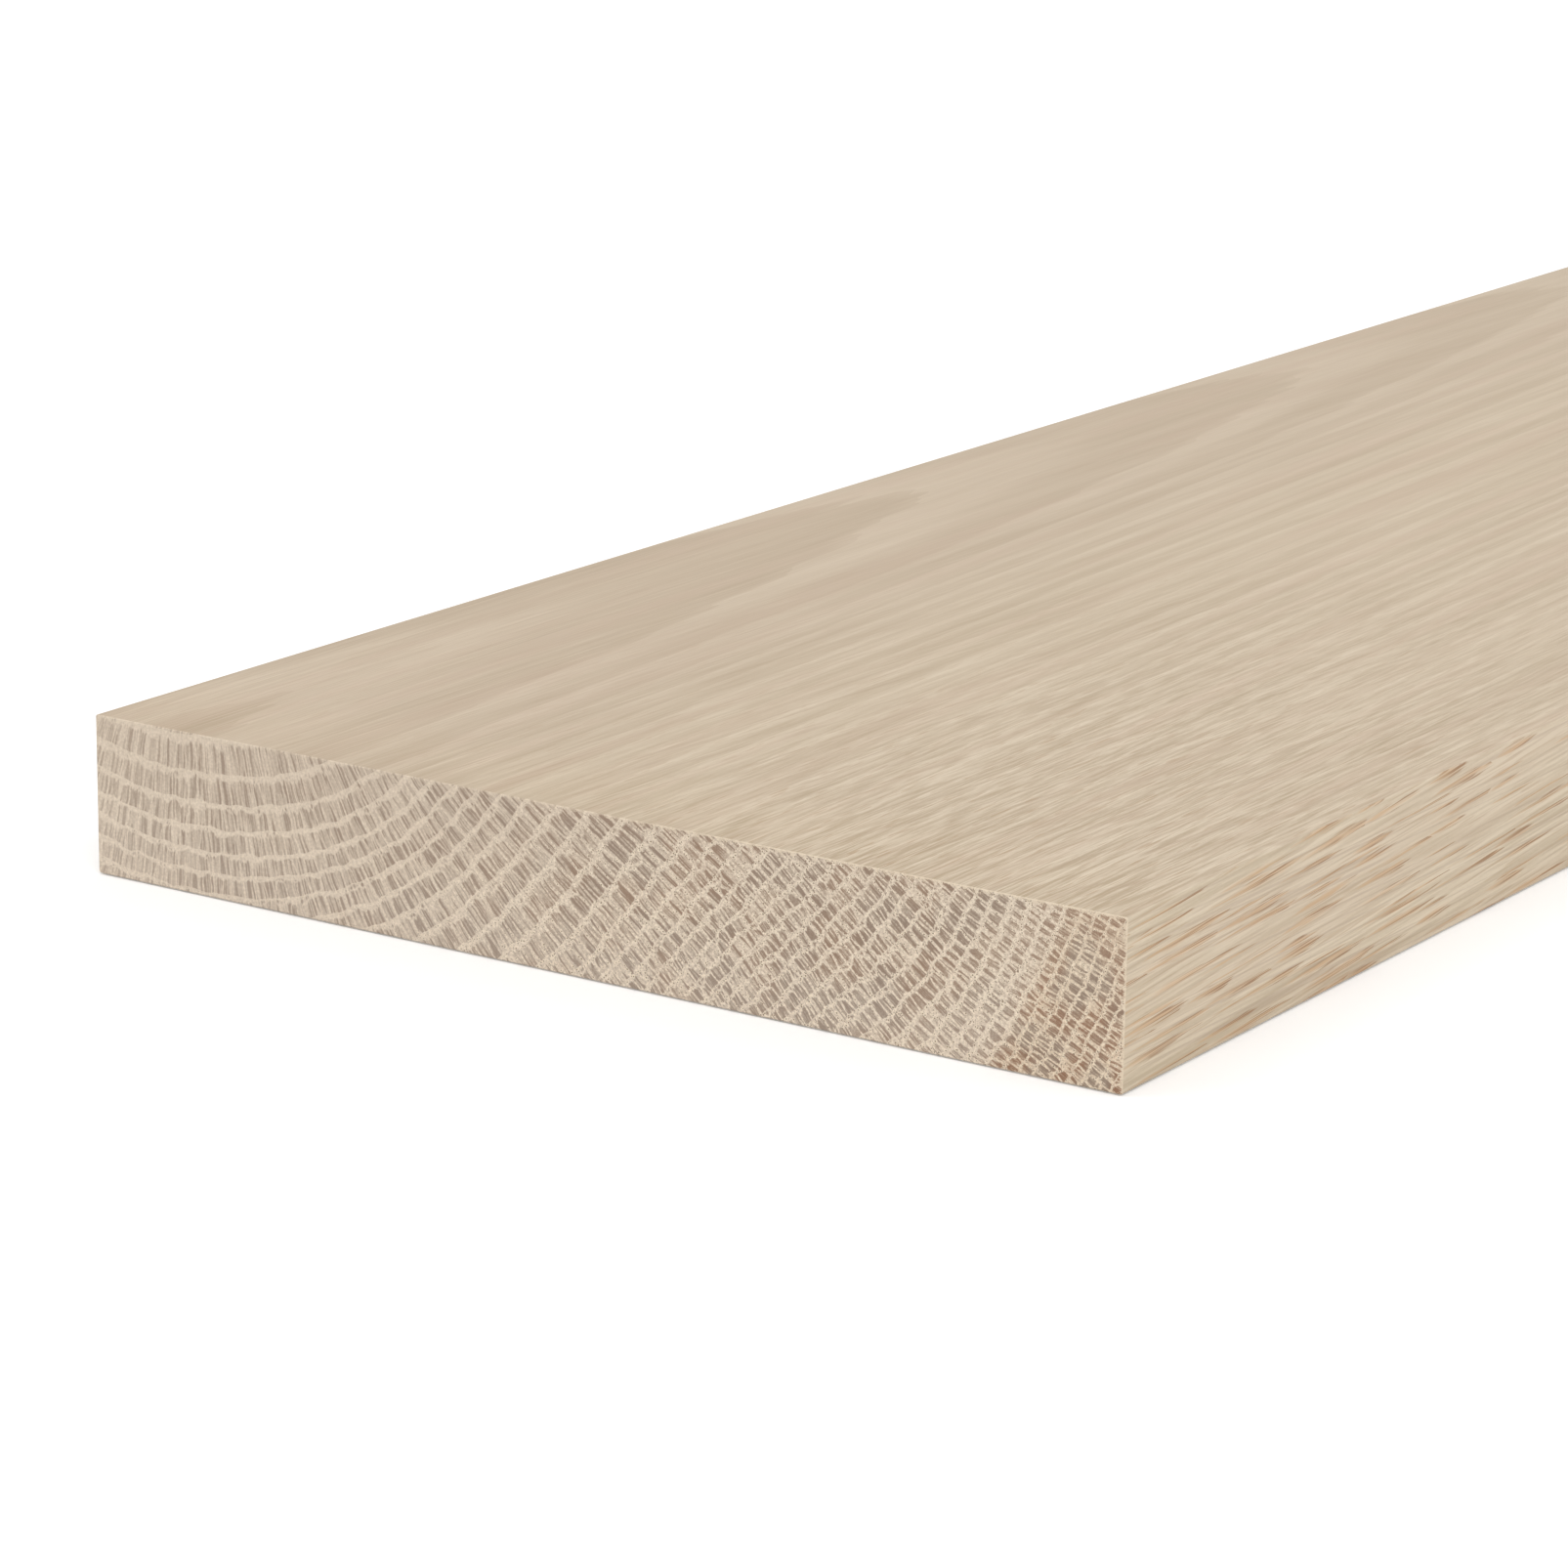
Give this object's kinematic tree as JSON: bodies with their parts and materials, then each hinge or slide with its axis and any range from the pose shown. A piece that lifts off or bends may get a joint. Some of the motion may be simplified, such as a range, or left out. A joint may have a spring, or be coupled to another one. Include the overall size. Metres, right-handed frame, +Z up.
{
  "type": "door threshold",
  "caption": "Flat solid oak door threshold board of plain rectangular section, with lightly eased long edges and square-sawn ends, that lies across a doorway.",
  "frame": {"origin": "middle of the underside, where the board lies on the subfloor", "axes": "+X along the board and its grain, from jamb to jamb; +Y across it, from room to room; +Z up to the tread face"},
  "size_m": [1, 0.145, 0.02],
  "materials": {
    "oak": "planed and unfinished, matt, with sawn end grain"
  },
  "bodies": {
    "root": {"threshold_board": "oak"}
  },
  "joints": []
}
